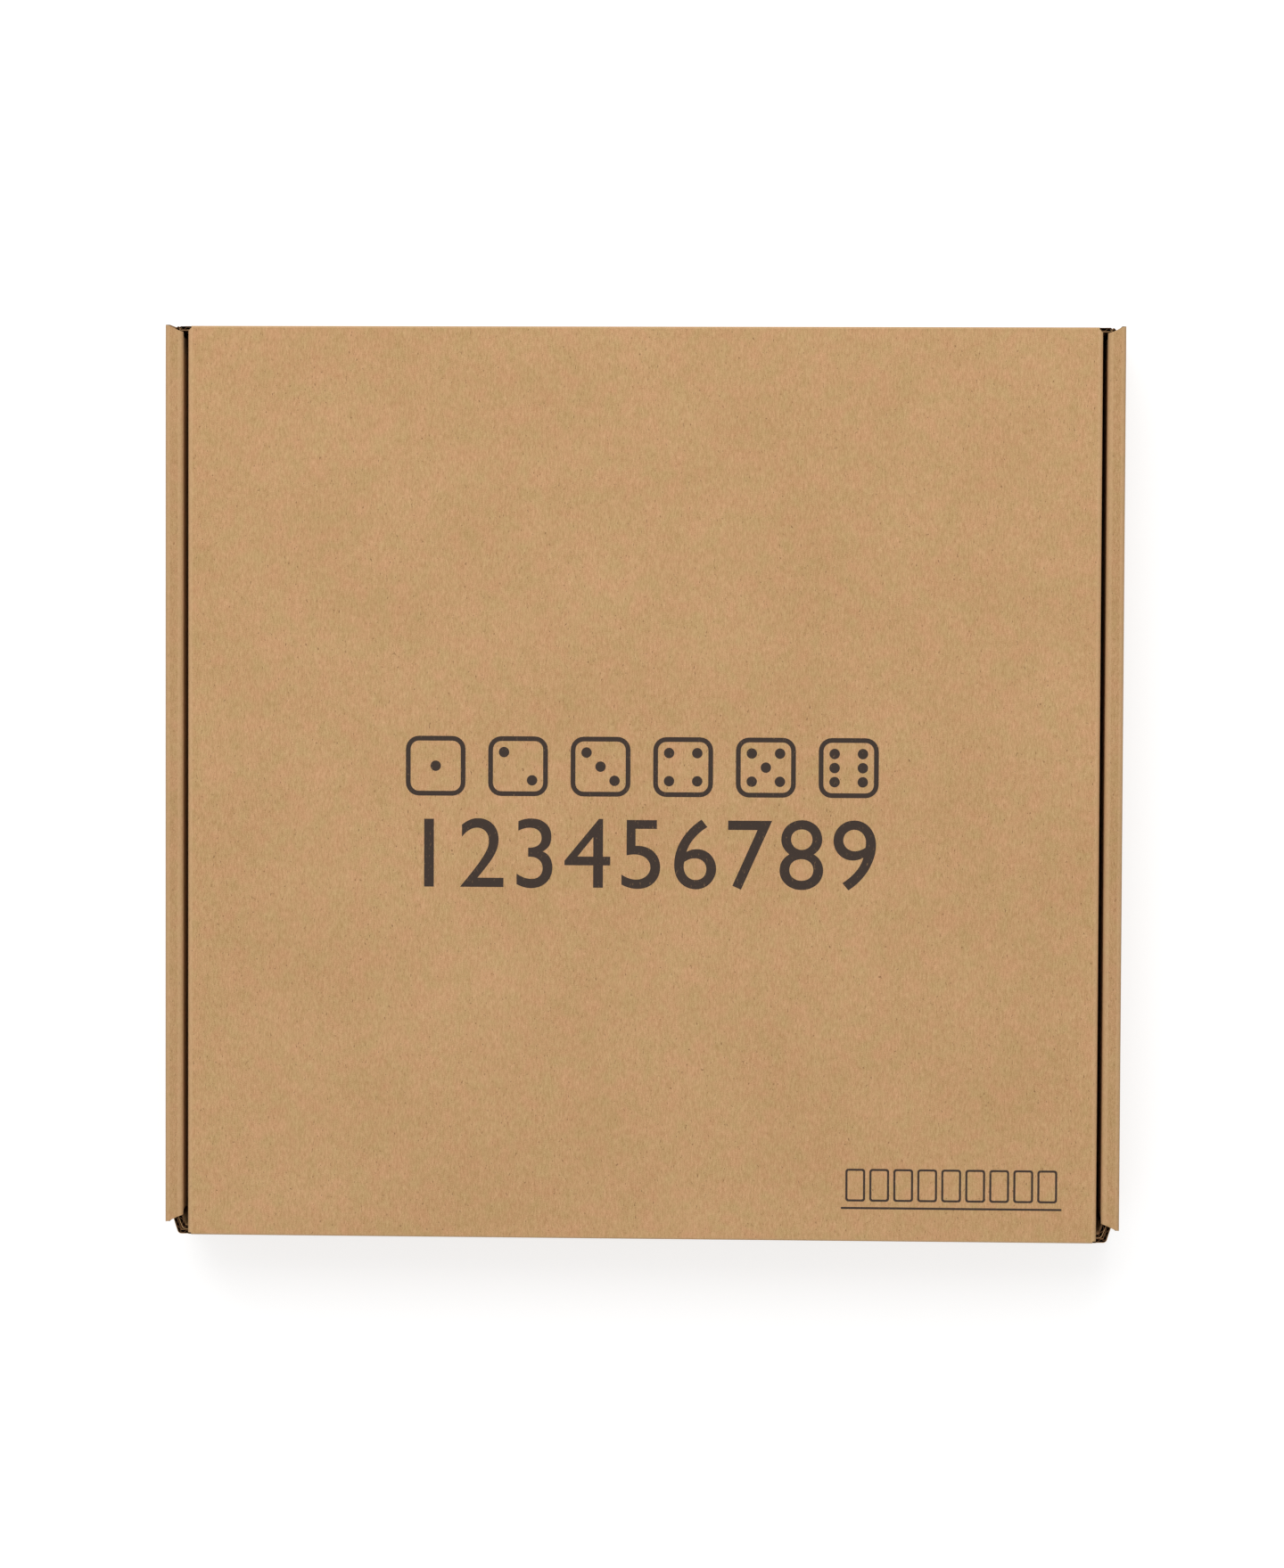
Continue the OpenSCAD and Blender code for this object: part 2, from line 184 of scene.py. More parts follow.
board_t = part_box("base_panel")[1].z
half_t = board_t / 2
outer_low, outer_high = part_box("right_outer_wall")
inner_low, inner_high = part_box("right_inner_wall")
front_wall_low, front_wall_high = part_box("front_wall")
back_wall_low, back_wall_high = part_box("back_wall")
side_front_y, side_back_y = outer_low.y, outer_high.y


def srgb(red, green, blue):
    """A colour given as it looks on a screen, 0 to 255, as linear light."""
    levels = [c / 255 for c in (red, green, blue)]
    return (*[c / 12.92 if c < 0.04045 else ((c + 0.055) / 1.055) ** 2.4 for c in levels], 1)


def grey(level):
    """A grey as linear light; over 1 it brightens what it multiplies."""
    return (level, level, level, 1)


def pattern(make, join, size, stretch=(1, 1, 1), detail=3.0, roughness=0.5, shift=0.0):
    """Noise in object space: size is the width of its spots in metres, stretch draws them out.

    A shift moves it, so that two patterns don't fall on each other.
    """
    place = make.new("ShaderNodeTexCoord")
    mapping = make.new("ShaderNodeMapping")
    mapping.inputs["Scale"].default_value = [1 / s for s in stretch]
    mapping.inputs["Location"].default_value = (shift, shift * 2, shift * 3)
    join(place.outputs["Object"], mapping.inputs["Vector"])
    noise = make.new("ShaderNodeTexNoise")
    noise.inputs["Scale"].default_value = 1 / size
    noise.inputs["Detail"].default_value = detail
    noise.inputs["Roughness"].default_value = roughness
    join(mapping.outputs[0], noise.inputs["Vector"])
    return noise.outputs["Fac"]


def ramp(make, join, value, stops):
    """A colour ramp on value; stops are (place, colour)."""
    node = make.new("ShaderNodeValToRGB")
    points = node.color_ramp.elements
    while len(points) < len(stops):
        points.new(0.5)
    for point, (place, colour) in zip(points, stops):
        point.position = place
        point.color = colour
    join(value, node.inputs["Fac"])
    return node.outputs["Color"]


def blend_colour(make, join, kind, amount, first, second):
    """Mixes two colours; amount, first and second are numbers, colours or sockets.

    The mix node names its sockets alike for every kind of value: 6, 7 and 2 are the colours'.
    """
    node = make.new("ShaderNodeMix")
    node.data_type = "RGBA"
    node.blend_type = kind
    for socket, value in ((node.inputs[0], amount), (node.inputs[6], first), (node.inputs[7], second)):
        if isinstance(value, bpy.types.NodeSocket):
            join(value, socket)
        else:
            socket.default_value = value
    return node.outputs[2]


def surface(make, join, colour, roughness, specular=0.5):
    """The shader of a finish, joined to the material's output; colour is a socket."""
    shader = make.new("ShaderNodeBsdfPrincipled")
    shader.inputs["Roughness"].default_value = roughness
    shader.inputs["Specular IOR Level"].default_value = specular
    join(colour, shader.inputs["Base Color"])
    join(shader.outputs[0], make.new("ShaderNodeOutputMaterial").inputs["Surface"])
    return shader


def roughen(make, join, shader, relief, strength, depth):
    """Gives a shader the bumps of the socket relief, depth metres deep."""
    bump = make.new("ShaderNodeBump")
    bump.inputs["Strength"].default_value = strength
    bump.inputs["Distance"].default_value = depth
    join(relief, bump.inputs["Height"])
    join(bump.outputs[0], shader.inputs["Normal"])


FIBRE_TINT = (0.8, 1.0, 1.4)
SPECK_BROWN = srgb(146, 110, 74)
# Painted highlight on folds: the lighter tan that folds are mixed towards, and how far.
FOLD_HIGHLIGHT_TAN = srgb(208, 172, 130)
FOLD_HIGHLIGHT_SHARE = 0.35


def kraft_paper(name, green_tan, pink_tan, grain=(1, 4, 1)):
    """Brown paper: soft blotches, fibre streaks along the grain, dark specks, and a painted highlight
    along folds, where rounded edges catch the light.

    Each layer of tone is (width of its spots, stretch, depth), and FIBRE_TINT is its share of depth
    in red, green and blue.
    """
    material, make, join = new_material(name)
    blotch = pattern(make, join, 7 * MM, detail=4, roughness=0.6)
    colour = ramp(make, join, blotch, [(0.34, green_tan), (0.66, pink_tan)])
    layers = [(40 * MM, (1, 1, 1), 0.04), (3 * MM, (1, 1, 1), 0.02), (0.9 * MM, grain, 0.035),
              (0.45 * MM, grain, 0.14), (0.3 * MM, (1, 1, 1), 0.16)]
    for order, (size, stretch, depth) in enumerate(layers):
        swing = [depth * share for share in FIBRE_TINT]
        spots = pattern(make, join, size, stretch, detail=2, roughness=0.6, shift=0.7 * order)
        tone = ramp(make, join, spots,
                    [(0.3, (*[1 - c for c in swing], 1)), (0.7, (*[1 + c for c in swing], 1))])
        colour = blend_colour(make, join, "MULTIPLY", 1.0, colour, tone)
    speck = ramp(make, join, pattern(make, join, 0.5 * MM, (1, 2.5, 1), detail=1, shift=0.3),
                 [(0.70, grey(0)), (0.78, grey(1))])
    colour = blend_colour(make, join, "MIX", speck, colour, SPECK_BROWN)
    # Painted highlight: points on a fold are mixed part way towards a lighter tan, for the light that
    # rounded fold edges catch.
    fold = make.new("ShaderNodeAttribute")
    fold.attribute_name = "fold"
    fold_highlight = make.new("ShaderNodeMath")
    fold_highlight.operation = "MULTIPLY"
    fold_highlight.inputs[1].default_value = FOLD_HIGHLIGHT_SHARE
    join(fold.outputs["Fac"], fold_highlight.inputs[0])
    colour = blend_colour(make, join, "MIX", fold_highlight.outputs[0], colour, FOLD_HIGHLIGHT_TAN)
    shader = surface(make, join, colour, roughness=0.82, specular=0.25)
    fibres = pattern(make, join, 0.4 * MM, grain, detail=4, roughness=0.6)
    roughen(make, join, shader, fibres, strength=0.25, depth=0.05 * MM)
    return material


def flute_medium():
    """The wavy middle paper, recycled and rougher than the liners, also used on the liners' inner faces;
    darker than the liners, partly as recycled paper is and partly as painted shade in the flute hollows.
    """
    material, make, join = new_material("flute_medium")
    colour = ramp(make, join, pattern(make, join, 1.5 * MM, detail=4),
                  [(0.3, srgb(88, 60, 40)), (0.7, srgb(108, 78, 54))])
    surface(make, join, colour, roughness=0.95, specular=0.1)
    return material


KRAFT = kraft_paper("kraft_liner", srgb(190, 155, 107), srgb(198, 153, 111))
# The side walls' kraft is the lid's kraft a shade darker: painted shade, for the rolled strips that take
# less light.
KRAFT_SIDES_SHADED = kraft_paper("kraft_liner_sides_shaded", srgb(183, 148, 102), srgb(190, 147, 106))
MEDIUM_AND_HOLLOW_SHADE = flute_medium()


def fluted_board_tree():
    """Geometry nodes that turn a sheet's middle surface into a liner, a wavy medium and a liner.

    The three plies take the material slots 0, 1 and 2 in that order.
    """
    tree = bpy.data.node_groups.new("fluted_board", "GeometryNodeTree")
    face = tree.interface
    face.new_socket("Middle surface", in_out="INPUT", socket_type="NodeSocketGeometry")
    for name in ("Flute pitch", "Board thickness", "Paper thickness", "Washboard"):
        face.new_socket(name, in_out="INPUT", socket_type="NodeSocketFloat")
    face.new_socket("Board", in_out="OUTPUT", socket_type="NodeSocketGeometry")
    make, join = tree.nodes, tree.links.new
    given = make.new("NodeGroupInput").outputs

    def worked_out(operation, first, second=0.0):
        """The result of a sum on numbers or sockets."""
        node = make.new("ShaderNodeMath")
        node.operation = operation
        for socket, value in zip(node.inputs, (first, second)):
            if isinstance(value, bpy.types.NodeSocket):
                join(value, socket)
            else:
                socket.default_value = value
        return node.outputs[0]

    run = make.new("GeometryNodeInputNamedAttribute")
    run.data_type = "FLOAT"
    run.inputs["Name"].default_value = "run"
    phase = worked_out("DIVIDE", run.outputs["Attribute"], given["Flute pitch"])
    wave = worked_out("SINE", worked_out("MULTIPLY", phase, math.tau))
    paper = given["Paper thickness"]
    rise = worked_out("SUBTRACT", worked_out("MULTIPLY", given["Board thickness"], 0.5),
                      worked_out("MULTIPLY", paper, 0.5))
    outer_dip = worked_out("MULTIPLY", worked_out("SUBTRACT", 1.0, wave), given["Washboard"])
    inner_dip = worked_out("MULTIPLY", worked_out("ADD", 1.0, wave), given["Washboard"])
    plies = [worked_out("SUBTRACT", rise, outer_dip),
             worked_out("MULTIPLY", wave, worked_out("SUBTRACT", rise, paper)),
             worked_out("MULTIPLY", worked_out("SUBTRACT", rise, inner_dip), -1.0)]
    normal = make.new("GeometryNodeInputNormal")
    whole = make.new("GeometryNodeJoinGeometry")
    for slot, distance in enumerate(plies):
        offset = make.new("ShaderNodeVectorMath")
        offset.operation = "SCALE"
        join(normal.outputs[0], offset.inputs[0])
        join(distance, offset.inputs["Scale"])
        moved = make.new("GeometryNodeSetPosition")
        join(given["Middle surface"], moved.inputs["Geometry"])
        join(offset.outputs[0], moved.inputs["Offset"])
        ply = make.new("GeometryNodeSetMaterialIndex")
        ply.inputs["Material Index"].default_value = slot
        join(moved.outputs[0], ply.inputs["Geometry"])
        join(ply.outputs[0], whole.inputs[0])
    real = make.new("GeometryNodeRealizeInstances")
    join(whole.outputs[0], real.inputs[0])
    join(real.outputs[0], make.new("NodeGroupOutput").inputs[0])
    return tree


FLUTED_BOARD = fluted_board_tree()


def new_piece(name, mesh):
    """An object for a finished mesh, linked to the scene."""
    piece = bpy.data.objects.new(name, mesh)
    scene.collection.objects.link(piece)
    return piece


def plain_mesh(source, name):
    """The mesh that an object comes to with its modifiers; the object itself goes."""
    bpy.context.view_layer.update()
    made = bpy.data.meshes.new_from_object(source.evaluated_get(bpy.context.evaluated_depsgraph_get()))
    bpy.data.objects.remove(source)
    made.name = name
    return made


def centre_line(corners):
    """A line through corners (across, up, radius of the fold): a list of (point, run, on a fold).

    The run is the length along the line from its middle, in steps short enough for a flute's wave.
    """
    folds = [c[2] for c in corners]
    corners = [Vector(c[:2]) for c in corners]
    keys = [(corners[0], 0)]
    for before, corner, after, fold in zip(corners, corners[1:], corners[2:], folds[1:]):
        ahead = (corner - before).normalized()
        onward = (after - corner).normalized()
        turn = math.acos(max(-1, min(1, ahead.dot(onward))))
        if not fold:
            keys.append((corner, 0))
            continue
        start = corner - ahead * fold * math.tan(turn / 2)
        across = (onward - ahead * ahead.dot(onward)).normalized()
        for k in range(FOLD_STEPS + 1):
            a = turn * k / FOLD_STEPS
            keys.append((start + (ahead * math.sin(a) + across * (1 - math.cos(a))) * fold, 1))
    keys.append((corners[-1], 0))
    line, run = [(keys[0][0], 0.0, 0)], 0.0
    step = FLUTE_PITCH / STEPS_PER_FLUTE
    for (start, _), (end, folded) in zip(keys, keys[1:]):
        length = (end - start).length
        parts = max(1, math.ceil(length / step))
        for k in range(1, parts + 1):
            on_fold = folded if k == parts else 0
            line.append((start.lerp(end, k / parts), run + length * k / parts, on_fold))
        run += length
    return [(point, at - run / 2, folded) for point, at, folded in line]


def made_of_paper(sheet, name):
    """Gives each ply of a sheet the paper's thickness, its back in the material one slot up."""
    paper = sheet.modifiers.new("paper", "SOLIDIFY")
    paper.thickness = PAPER
    paper.offset = 0
    paper.material_offset = 1
    made = plain_mesh(sheet, name)
    made.polygons.foreach_set("use_smooth", [True] * len(made.polygons))
    made.set_sharp_from_angle(angle=math.radians(SHARP_DEGREES))
    return new_piece(name, made)


def board_sheet(name, line, rows, place, is_board, liner):
    """A sheet of fluted board on a grid: line runs across the flutes, rows(point, run) along them.

    place(point, row) is a spot in space, and is_board(point, run, k) says if strip k of the rows is
    board there. The board's two faces are of the material liner, and all inside it, the liners' inner
    faces too, is the medium's material, dark as painted shade in the hollows.
    The copies keep four slots, where the tree would make one of two that share a material.
    """
    mesh = bpy.data.meshes.new(name)
    spots, runs, folds, faces = [], [], [], []
    for point, run, folded in line:
        for row in rows(point, run):
            spots.append(place(point, row))
            runs.append(run)
            folds.append(folded)
    count = len(rows(*line[0][:2]))
    for i in range(len(line) - 1):
        middle = (line[i][0] + line[i + 1][0]) / 2
        for k in range(count - 1):
            if is_board(middle, (line[i][1] + line[i + 1][1]) / 2, k):
                near, far = i * count + k, (i + 1) * count + k
                faces.append((near, far, far + 1, near + 1))
    mesh.from_pydata(spots, [], faces)
    # The liners' inner faces take the dark medium too: painted shade inside the board.
    for paper in (liner, MEDIUM_AND_HOLLOW_SHADE, MEDIUM_AND_HOLLOW_SHADE.copy(), liner.copy()):
        mesh.materials.append(paper)
    # run sets the flutes' wave; fold marks points on folds, where the kraft takes a painted highlight.
    for attribute, values in (("run", runs), ("fold", folds)):
        mesh.attributes.new(attribute, "FLOAT", "POINT").data.foreach_set("value", values)
    cut = bmesh.new()
    cut.from_mesh(mesh)
    bmesh.ops.delete(cut, geom=[v for v in cut.verts if not v.link_faces], context="VERTS")
    cut.to_mesh(mesh)
    cut.free()
    sheet = new_piece(name + "_middle", mesh)
    fluting = sheet.modifiers.new("fluting", "NODES")
    fluting.node_group = FLUTED_BOARD
    wanted = {"Flute pitch": FLUTE_PITCH, "Board thickness": board_t, "Paper thickness": PAPER,
              "Washboard": WASHBOARD / 2}
    for item in FLUTED_BOARD.interface.items_tree:
        if item.name in wanted:
            fluting[item.identifier] = wanted[item.name]
    return made_of_paper(sheet, name)


tray_floor_low, tray_floor_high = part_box("tray_floor")
tray_y = (tray_floor_low.y + tray_floor_high.y) / 2
side_line_x = inner_low.x + half_t
outer_line_x = outer_high.x - half_t
strip_line_z = outer_high.z - half_t
strip_fold = inner_high.x - inner_low.x - half_t
inner_front_y = side_front_y + STRIP_MITRE + INNER_SET
inner_back_y = side_back_y - STRIP_MITRE - INNER_SET
slot_near_x, slot_far_x = inner_low.x - TAB_ROOM, inner_low.x + board_t + TAB_ROOM


def both_sides(corners):
    """The corners of one half of a line, after the same half on the other side."""
    return [(-x, *other) for x, *other in reversed(corners)] + corners


side_corners = [(slot_near_x, half_t, 0), (slot_far_x, half_t, 0), (outer_line_x, half_t, half_t),
                (outer_line_x, strip_line_z, half_t), (side_line_x, strip_line_z, strip_fold),
                (side_line_x, board_t, 0), (side_line_x, inner_low.z, 0)]
side_line = centre_line(both_sides(side_corners))
base_run = outer_line_x - half_t
inner_wall_run = side_line[-1][1] - (strip_line_z - strip_fold - inner_low.z)
tabs_run = side_line[-1][1] - (board_t - inner_low.z)


def side_rows(point, run):
    """From front to back: the ends, mitred on the strips, and the edges of the two tabs."""
    in_base = abs(run) < base_run + TAB_ROOM
    half = TAB_WIDTH / 2 + (TAB_ROOM if in_base else 0)
    tabs = [tray_y + end * TAB_FROM_MIDDLE + edge * half for end in (-1, 1) for edge in (-1, 1)]
    if in_base:
        return [front_wall_high.y, *tabs, back_wall_low.y]
    if abs(run) > inner_wall_run - TAB_ROOM:
        return [inner_front_y, *tabs, inner_back_y]
    out = (abs(point.x) - inner_low.x) / (outer_high.x - inner_low.x)
    cut = STRIP_MITRE * (1 - out)
    return [side_front_y + cut, *tabs, side_back_y - cut]


def side_board(point, run, k):
    """The base has a slot for each tab, and the inner wall ends in the tabs."""
    at_tab = k in (1, 3)
    if abs(run) > tabs_run:
        return at_tab
    return not (at_tab and slot_near_x < abs(run) < slot_far_x)


# The base and sides take the darker kraft, a painted shade.
base_and_sides = board_sheet("base_and_sides", side_line, side_rows, lambda p, y: (p.x, y, p.y),
                             side_board, KRAFT_SIDES_SHADED)
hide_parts("base_panel", "left_outer_wall", "right_outer_wall", "left_inner_wall",
            "right_inner_wall")
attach(base_and_sides, "root")

# ---------------------------------------------------------------------------------------------
# Front and back walls: each rises from the base on a rounded crease, and a flap at either end
# folds round its corner into the hollow of the side wall. The flutes stand upright.
# ---------------------------------------------------------------------------------------------
CORNER_FLAP_LENGTH = 40 * MM
CORNER_FLAP_CUT = 8 * MM
NICK_WIDTH = 1.2 * MM
NICK_LENGTH = 2.5 * MM

KRAFT_UPRIGHT = kraft_paper("kraft_liner_upright", srgb(190, 155, 107), srgb(198, 153, 111),
                            grain=(1, 1, 4))
flaps_low, flaps_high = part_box("corner_flaps")
flap_line_x = flaps_high.x - half_t
lid_low, lid_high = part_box("lid_panel")


def cross_wall(name, wall, face_y, fold_y, way, slant_y):
    """The wall along x between faces face_y and fold_y, with its corner flaps; way is 1 at the front.

    The flaps slant out until slant_y. The back wall's top edge is narrower, for the nicks in the lid.
    """
    wall_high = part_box(wall)[1]
    wall_y = (face_y + fold_y) / 2
    far_y = fold_y + way * CORNER_FLAP_LENGTH
    corners = [(wall_high.x, wall_y, 0), (wall_high.x + half_t, wall_y, half_t), (flap_line_x, slant_y, 0),
               (flap_line_x, far_y, 0)]
    turns = [math.pi / 2 * k / FOLD_STEPS for k in range(FOLD_STEPS, 0, -1)]
    foot = [(half_t * (1 - math.cos(a)), board_t - half_t * math.sin(a)) for a in turns]
    top_half = lid_high.x - NICK_WIDTH if way < 0 else wall_high.x

    def rows(point, run):
        """From the crease's foot to the top, as (distance in from the wall, height)."""
        if abs(run) <= wall_high.x:
            return [*foot, (0, board_t), (0, min(wall_high.z, flaps_high.z)), (0, wall_high.z)]
        cut = max(0, CORNER_FLAP_CUT - abs(far_y - point.y))
        top = flaps_high.z - cut
        return [*foot, (0, flaps_low.z + cut), (0, top), (0, top)]

    def is_board(point, run, k):
        """The wall is board all the way up, and a flap only between its own edges."""
        if abs(run) < wall_high.x:
            return k < FOLD_STEPS + 1 or abs(run) < top_half
        return k == FOLD_STEPS

    return board_sheet(name, centre_line(both_sides(corners)), rows,
                       lambda p, row: (p.x, p.y + way * row[0], row[1]), is_board, KRAFT_UPRIGHT)


front_and_flaps = cross_wall("front_wall_and_corner_flaps", "front_wall", front_wall_low.y,
                             front_wall_high.y, 1, inner_front_y - PLY_GAP)
back_and_flaps = cross_wall("back_wall_and_corner_flaps", "back_wall", back_wall_high.y,
                            back_wall_low.y, -1, back_wall_low.y - half_t)
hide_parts("front_wall", "corner_flaps")
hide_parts("back_wall", "corner_flaps")
for piece in (front_and_flaps, back_and_flaps):
    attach(piece, "root")

# ---------------------------------------------------------------------------------------------
# Front flap: it hangs from the lid's front crease, over the front wall. An ear at either end
# folds back and slides into the side wall; its lower edge is cut to the arc that it swings on.
# ---------------------------------------------------------------------------------------------
EAR_ROUND = 9 * MM

flap_low, flap_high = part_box("front_flap")
ear_low, ear_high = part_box("right_ear")
flap_line_y = flap_low.y + half_t
flap_fold_y = lid_low.y + half_t
lid_fold_y = lid_high.y - half_t
fold_z = lid_high.z - half_t
ear_line_x = ear_high.x - half_t
ear_swing = fold_z - max(ear_low.z, flap_low.z)
ear_corners = [(lid_high.x, flap_line_y, 0), (flap_high.x, flap_line_y, 0),
               (flap_high.x + half_t, flap_line_y, half_t), (ear_line_x, inner_front_y - PLY_GAP, 0),
               (ear_line_x, ear_high.y, 0)]
ear_line = centre_line(both_sides(ear_corners))


def ear_rows(point, run):
    """From the lower edge to the top: round at the ear's free end, and higher under the lid."""
    if abs(run) <= flap_high.x:
        return [flap_low.z, ear_high.z, flap_high.z]
    back = point.y - flap_fold_y
    low = fold_z - math.sqrt(max(0, ear_swing ** 2 - back ** 2))
    into_round = max(0, EAR_ROUND - (ear_high.y - point.y))
    top = ear_high.z - (EAR_ROUND - math.sqrt(EAR_ROUND ** 2 - into_round ** 2))
    return [max(flap_low.z, low), top, top]


def ear_board(point, run, k):
    """Over the ears' top edge the flap is only as wide as the lid."""
    return k == 0 or abs(run) < lid_high.x


front_flap = board_sheet("front_flap_and_ears", ear_line, ear_rows, lambda p, z: (p.x, p.y, z), ear_board,
                         KRAFT_UPRIGHT)
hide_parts("front_flap", "left_ear", "right_ear")
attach(front_flap, "front_flap")

# ---------------------------------------------------------------------------------------------
# Lid: one panel of board with a dust flap creased down along either side.
# The flutes run from front to back; the back corners are nicked to clear the back wall's ends.
# ---------------------------------------------------------------------------------------------
DUST_TAPER = 12 * MM

dust_low, dust_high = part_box("right_dust_flap")
lid_corners = [(lid_high.x - half_t, fold_z, half_t), (lid_high.x - half_t, dust_low.z, 0)]
lid_line = centre_line(both_sides(lid_corners))


def lid_rows(point, run):
    """From front to back: the lid's ends, nicked at the back, and the dust flaps' slanting ends."""
    x, z = point
    taper = DUST_TAPER * max(0, (dust_high.z - z) / (dust_high.z - dust_low.z))
    nick = NICK_LENGTH * max(0, (abs(x) - lid_high.x + NICK_WIDTH) / NICK_WIDTH)
    return [flap_fold_y, dust_low.y + taper, dust_high.y - taper, lid_fold_y - nick]


def lid_board(point, run, k):
    """Under the crease only the dust flaps are left."""
    return k == 1 or point.y > dust_high.z


lid = board_sheet("lid_and_dust_flaps", lid_line, lid_rows, lambda p, y: (p.x, y, p.y), lid_board, KRAFT)
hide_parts("lid_panel", "left_dust_flap", "right_dust_flap")
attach(lid, "lid")

# ---------------------------------------------------------------------------------------------
# Creases: the liners carry on round the two folds that move, from the back wall over to the lid
# and from the lid over to the front flap. They are the carton's living hinges.
# ---------------------------------------------------------------------------------------------
CREASE_IN = 1.2 * MM


def crease(name, line):
    """A strip of liner as wide as the lid, less a little, that runs along line, points (y, z)."""
    half = lid_high.x - CREASE_IN
    mesh = bpy.data.meshes.new(name)
    mesh.from_pydata([(x, y, z) for y, z in line for x in (-half, half)], [],
                     [(2 * i, 2 * i + 1, 2 * i + 3, 2 * i + 2) for i in range(len(line) - 1)])
    # Every point of a crease strip is on a fold, so the whole strip takes the kraft's painted highlight.
    mesh.attributes.new("fold", "FLOAT", "POINT").data.foreach_set("value", [1] * 2 * len(line))
    mesh.materials.append(KRAFT)
    return made_of_paper(new_piece(name + "_middle", mesh), name)


def creases(name, centre_y, way, wall_top):
    """The outer and the inner liner round the fold at centre_y; way is -1 at the front.

    wall_top is where the upright board ends.
    """
    face = half_t - PAPER / 2
    arc = [math.pi / 2 * k / FOLD_STEPS for k in range(FOLD_STEPS + 1)]
    outer = [(centre_y + way * face, wall_top)]
    outer += [(centre_y + way * face * math.cos(a), fold_z + face * math.sin(a)) for a in arc]
    inner_foot, inner_top = Vector((centre_y - way * face, wall_top)), Vector((centre_y, fold_z - face))
    inner = [inner_foot.lerp(inner_top, k / FOLD_STEPS) for k in range(FOLD_STEPS + 1)]
    for layer, line, turn_starts in (("outer", outer, 1), ("inner", inner, 0)):
        piece = crease(f"{name}_{layer}", line)
        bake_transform(piece)


creases("lid_crease", lid_fold_y, 1, back_wall_high.z)
creases("flap_crease", flap_fold_y, -1, flap_high.z)

# ---------------------------------------------------------------------------------------------
# Print on the lid: a row of six dice faces, a row of plain numbers and a small rack of tiles.
# One dark ink, laid on as a skin that the paper's fibres show through.
# ---------------------------------------------------------------------------------------------
INK_SINK = 0.06 * MM
INK_PROUD = 0.012 * MM
INK_MERGE = 0.001 * MM
NUMBERS = range(1, 10)
DICE_FACES = range(1, 7)
CAP_HEIGHT = 0.72
DICE_Y = 5.5 * MM
DICE_SIDE = 20 * MM
DICE_PITCH = 27.6 * MM
DICE_LINE = 1.6 * MM
DICE_ROUND = 4.4 * MM
DICE_PIP = 1.75 * MM
DICE_PIP_STEP = 4.7 * MM
NUMBERS_Y = -25 * MM
NUMBER_HEIGHT = 24 * MM
NUMBER_PITCH = 17.8 * MM
RACK_X, RACK_Y = 104 * MM, -134 * MM
RACK_TILE_WIDTH, RACK_TILE_HEIGHT = 6.6 * MM, 11 * MM
RACK_TILE_ROUND, RACK_HOLLOW_ROUND = 1 * MM, 0.5 * MM
RACK_PITCH = 8 * MM
RACK_LINE = 0.7 * MM
RACK_SHELF_LENGTH = 9.2 * RACK_PITCH
RACK_SHELF_DROP = 0.7 * RACK_TILE_HEIGHT


def lid_ink():
    """Matt brown-black ink, thin enough for pale fibres to show here and there."""
    material, make, join = new_material("lid_ink")
    gaps = ramp(make, join, pattern(make, join, 0.5 * MM, (1, 3, 1), detail=3, roughness=0.7),
                [(0.62, grey(0)), (0.74, grey(0.6))])
    colour = blend_colour(make, join, "MIX", gaps, srgb(62, 50, 43), srgb(150, 118, 84))
    surface(make, join, colour, roughness=0.75, specular=0.25)
    return material


LID_INK = lid_ink()


def numeral(number, height):
    """A plain number as a flat curve; its height is CAP_HEIGHT of the size of the type."""
    curve = bpy.data.curves.new("numeral", "FONT")
    curve.body = str(number)
    curve.align_x = curve.align_y = "CENTER"
    curve.size = height / CAP_HEIGHT
    return curve


def outline(loops):
    """Closed loops of points as one flat curve: a loop inside another is a hole in it."""
    curve = bpy.data.curves.new("outline", "CURVE")
    curve.dimensions = "2D"
    curve.fill_mode = "BOTH"
    for loop in loops:
        spline = curve.splines.new("POLY")
        spline.points.add(len(loop) - 1)
        for point, (x, y) in zip(spline.points, loop):
            point.co = (x, y, 0, 1)
        spline.use_cyclic_u = True
    return curve


def ring(x, y, radius, steps=24):
    """Points round a circle."""
    turns = [math.tau * k / steps for k in range(steps)]
    return [(x + radius * math.cos(a), y + radius * math.sin(a)) for a in turns]


def rounded_box(width, height, radius, steps=6):
    """Points round a rectangle about the origin, its corners rounded."""
    points = []
    for quarter, (sx, sy) in enumerate(((1, 1), (-1, 1), (-1, -1), (1, -1))):
        for k in range(steps + 1):
            a = math.pi / 2 * (quarter + k / steps)
            points.append((sx * (width / 2 - radius) + radius * math.cos(a),
                           sy * (height / 2 - radius) + radius * math.sin(a)))
    return points


def plate(curve, thickness, placed, material):
    """The filled curve as a thin closed mesh, moved by the matrix placed."""
    curve.extrude = thickness / 2
    drawn = bpy.data.objects.new("drawn", curve)
    scene.collection.objects.link(drawn)
    mesh = plain_mesh(drawn, "plate")
    bpy.data.curves.remove(curve)
    mesh.transform(placed)
    mesh.materials.clear()
    mesh.materials.append(material)
    return mesh


def joined(name, meshes):
    """One mesh of several that share a material, doubled points merged."""
    whole = bmesh.new()
    for mesh in meshes:
        whole.from_mesh(mesh)
    bmesh.ops.remove_doubles(whole, verts=whole.verts, dist=INK_MERGE)
    made = bpy.data.meshes.new(name)
    whole.to_mesh(made)
    whole.free()
    made.materials.append(meshes[0].materials[0])
    for mesh in meshes:
        bpy.data.meshes.remove(mesh)
    return made


